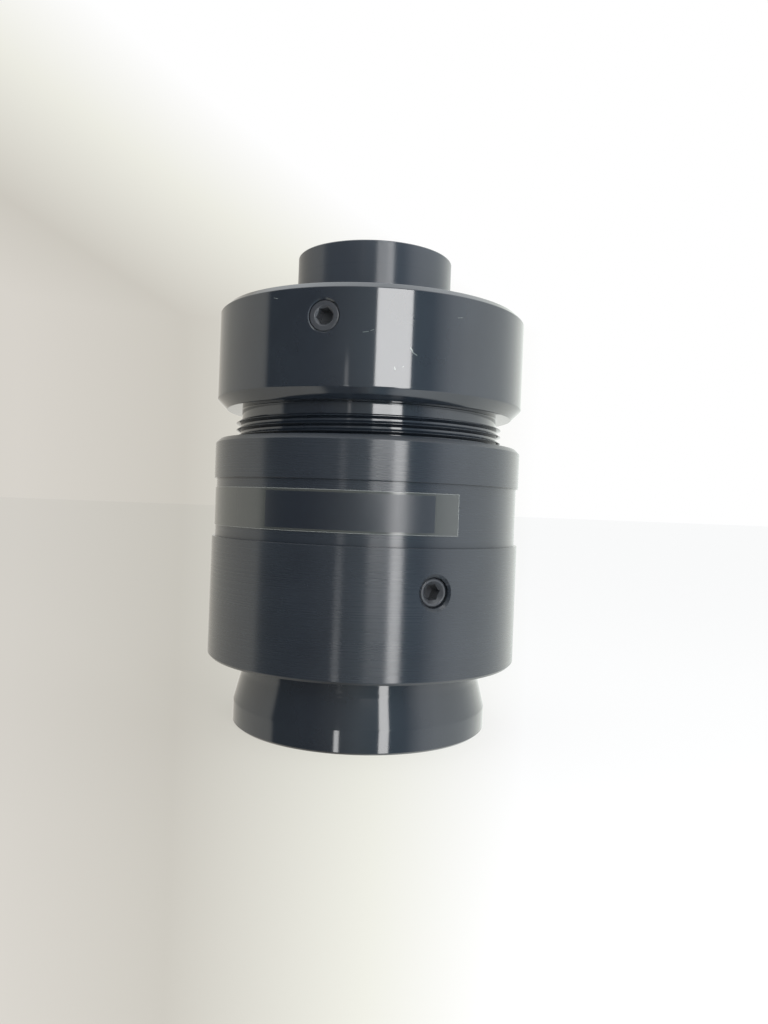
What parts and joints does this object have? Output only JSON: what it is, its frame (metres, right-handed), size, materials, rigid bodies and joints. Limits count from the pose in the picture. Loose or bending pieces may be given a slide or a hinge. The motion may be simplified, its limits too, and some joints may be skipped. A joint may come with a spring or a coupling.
{
  "type": "lens mount adapter",
  "caption": "Tubular optical relay adapter with a focusing ring on a fine thread, a slim eyepiece-tube nose at one end and a round dovetail camera flange at the other.",
  "frame": {"origin": "centre of the dovetail flange's foot, on the optical axis, where the part stands", "axes": "+Z along the optical axis, from the camera flange up to the nose tube; -Y towards the side that the picture shows"},
  "size_m": [0.046, 0.046, 0.0697],
  "materials": {
    "gloss_anodised": "glossy black anodised, turned",
    "satin_anodised": "satin black anodised, with fine turning marks",
    "matt_black": "matt black anodised against stray light",
    "black_steel": "black oxide on hardened steel",
    "coated_glass": "polished, with a thin anti-reflection coating",
    "label_film": "clear film over a dark, bare print area"
  },
  "bodies": {
    "barrel": {"main_barrel": "satin_anodised", "info_label": "label_film", "flange_set_screw_1": "black_steel", "flange_set_screw_2": "black_steel", "flange_set_screw_3": "black_steel", "rear_lens_cell": "matt_black", "field_lens": "coated_glass", "lens_spacer": "matt_black", "aperture_stop": "matt_black", "rear_flint_lens": "coated_glass", "rear_crown_lens": "coated_glass", "rear_retaining_ring": "matt_black"},
    "front_doublet": {"front_flint_lens": "coated_glass", "front_crown_lens": "coated_glass"},
    "focus_group": {"focus_ring": "gloss_anodised", "nose_tube": "satin_anodised", "front_retaining_ring": "matt_black", "nose_set_screw_1": "black_steel", "nose_set_screw_2": "black_steel", "nose_set_screw_3": "black_steel"},
    "camera_flange": {"dovetail_flange": "gloss_anodised"}
  },
  "joints": [
    {"name": "focus_travel", "type": "slide", "parent": "barrel", "child": "front_doublet", "axis": [0, 0, 1], "range_m": [-0.00441, 0.00301]},
    {"name": "focus_turn", "type": "hinge", "parent": "front_doublet", "child": "focus_group", "pos_m": [0, 0, 0.05], "axis": [0, 0, 1], "range_deg": [-1584, 1080]},
    {"name": "flange_swivel", "type": "hinge", "parent": "barrel", "child": "camera_flange", "pos_m": [0, 0, 0.005], "axis": [0, 0, 1], "continuous": true}
  ],
  "couplings": [
    {"joint": "focus_travel", "follows": "focus_turn", "m_per_rad": 0.00015915}
  ]
}
